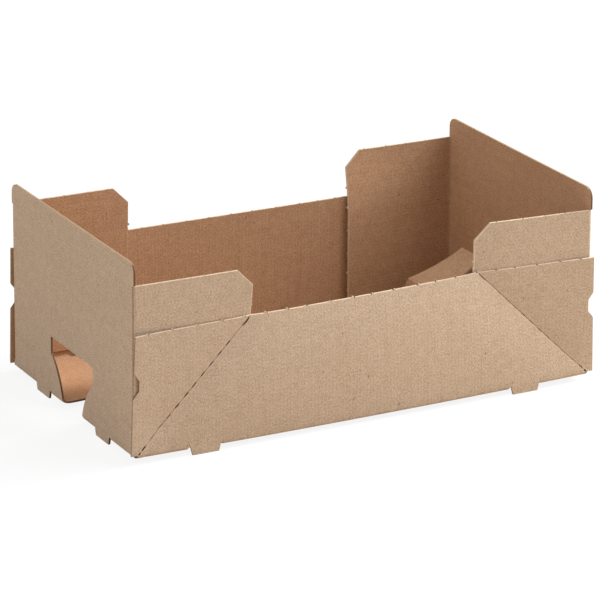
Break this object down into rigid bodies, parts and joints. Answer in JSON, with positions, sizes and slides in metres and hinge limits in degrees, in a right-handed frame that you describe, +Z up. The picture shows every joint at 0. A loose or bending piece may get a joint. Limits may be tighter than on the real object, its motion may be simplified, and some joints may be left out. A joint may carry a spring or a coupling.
{
  "type": "folded cup carrier tray",
  "caption": "Open tray of one folded corrugated board, with tall end panels, corner ears and raised tongues that keep drinks cups apart.",
  "frame": {"origin": "middle of the base, level with the soles of the feet", "axes": "+Z up, +X along the tray's length, -Y towards the front wall"},
  "size_m": [0.3862, 0.213, 0.1508],
  "materials": {
    "kraft_board": "matte"
  },
  "bodies": {
    "root": {"folded_tray": "kraft_board"}
  },
  "joints": []
}
